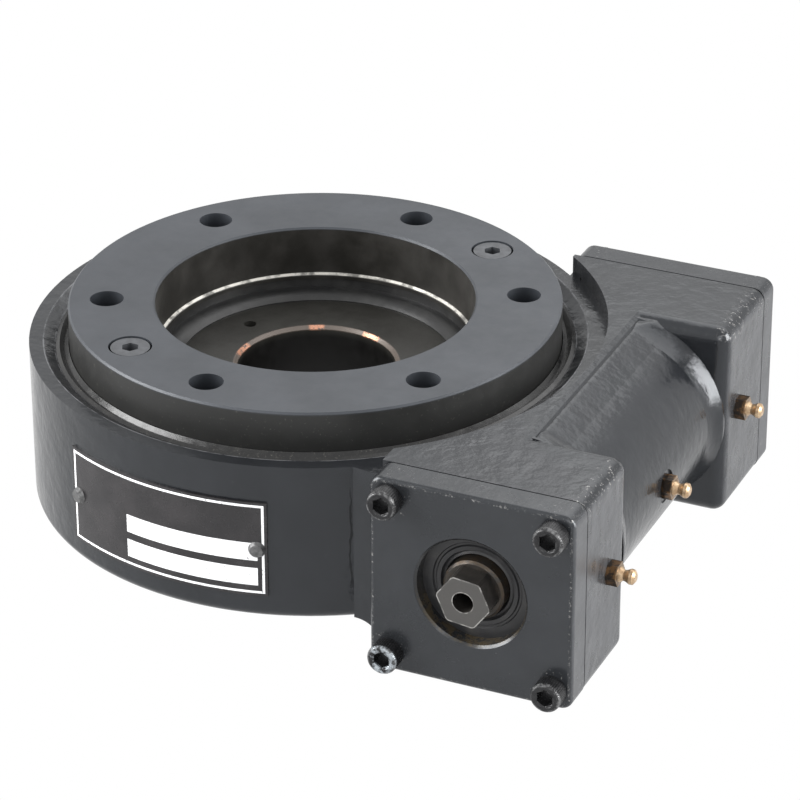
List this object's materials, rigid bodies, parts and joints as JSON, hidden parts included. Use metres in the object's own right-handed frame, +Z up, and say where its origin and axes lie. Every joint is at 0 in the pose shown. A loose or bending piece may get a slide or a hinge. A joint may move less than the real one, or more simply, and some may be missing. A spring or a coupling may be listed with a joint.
{
  "type": "solar slew drive",
  "caption": "Enclosed worm-driven slewing ring with a drilled output ring, square worm end housings, hex input shaft and grease nipples.",
  "frame": {"origin": "on the slewing axis at the bottom mounting face", "axes": "+Z up along the slewing axis, worm axis parallel to Y on the +X side, hex input faces -Y"},
  "size_m": [0.2292, 0.1903, 0.074],
  "materials": {
    "housing_paint": "black enamel over cast iron, slightly orange-peeled",
    "ring_steel": "black-oxide steel, satin",
    "shaft_steel": "machined steel, lightly rusted",
    "bearing_steel": "ground bearing steel",
    "cage_steel": "pressed steel",
    "screw_black": "black-oxide socket screw",
    "ring_screw_black": "black-oxide low-head screw",
    "seal_rubber": "nitrile rubber",
    "gasket": "gasket sheet",
    "nipple_brass": "yellow-passivated",
    "plate": "printed aluminium, dark with a pale border",
    "rivet": "painted over",
    "cap_paint": "black enamel over cast iron"
  },
  "bodies": {
    "housing_body": {"housing": "housing_paint", "inner_hub": "ring_steel", "ball_filler_plug": "ring_steel", "filler_pin": "bearing_steel", "hub_screws": "screw_black", "outer_dust_seal": "seal_rubber", "inner_dust_seal": "seal_rubber", "front_bearing_cup": "bearing_steel", "rear_bearing_cup": "bearing_steel", "front_spacer_ring": "cage_steel", "rear_shim_ring": "cage_steel", "input_cap": "cap_paint", "rear_cap": "cap_paint", "input_gasket": "gasket", "rear_gasket": "gasket", "input_cap_screws": "screw_black", "rear_cap_screws": "screw_black", "input_oil_seal": "seal_rubber", "front_grease_nipple": "nipple_brass", "barrel_grease_nipple": "nipple_brass", "rear_grease_nipple": "nipple_brass", "nameplate": "plate", "nameplate_rivets": "rivet"},
    "ring_body": {"output_ring": "ring_steel", "ring_screws": "ring_screw_black"},
    "ball_body": {"bearing_balls": "bearing_steel", "ball_cage": "cage_steel"},
    "worm_body": {"worm_shaft": "shaft_steel", "front_bearing_cone": "bearing_steel", "rear_bearing_cone": "bearing_steel"},
    "front_roller_body": {"front_rollers": "bearing_steel", "front_roller_cage": "cage_steel"},
    "rear_roller_body": {"rear_rollers": "bearing_steel", "rear_roller_cage": "cage_steel"}
  },
  "joints": [
    {"name": "ring_slew", "type": "hinge", "parent": "housing_body", "child": "ring_body", "pos_m": [0, 0, 0.045], "axis": [0, 0, 1], "continuous": true},
    {"name": "ball_roll", "type": "hinge", "parent": "housing_body", "child": "ball_body", "pos_m": [0, 0, 0.032], "axis": [0, 0, 1], "continuous": true},
    {"name": "worm_turn", "type": "hinge", "parent": "housing_body", "child": "worm_body", "pos_m": [0.094, 0, 0.0345], "axis": [0, 1, 0], "continuous": true},
    {"name": "front_rollers_turn", "type": "hinge", "parent": "housing_body", "child": "front_roller_body", "pos_m": [0.094, -0.0675, 0.0345], "axis": [0, 1, 0], "continuous": true},
    {"name": "rear_rollers_turn", "type": "hinge", "parent": "housing_body", "child": "rear_roller_body", "pos_m": [0.094, 0.0635, 0.0345], "axis": [0, 1, 0], "continuous": true}
  ],
  "couplings": [
    {"joint": "worm_turn", "follows": "ring_slew", "ratio": -62},
    {"joint": "ball_roll", "follows": "ring_slew", "ratio": 0.53},
    {"joint": "front_rollers_turn", "follows": "ring_slew", "ratio": -26},
    {"joint": "rear_rollers_turn", "follows": "ring_slew", "ratio": -26}
  ]
}
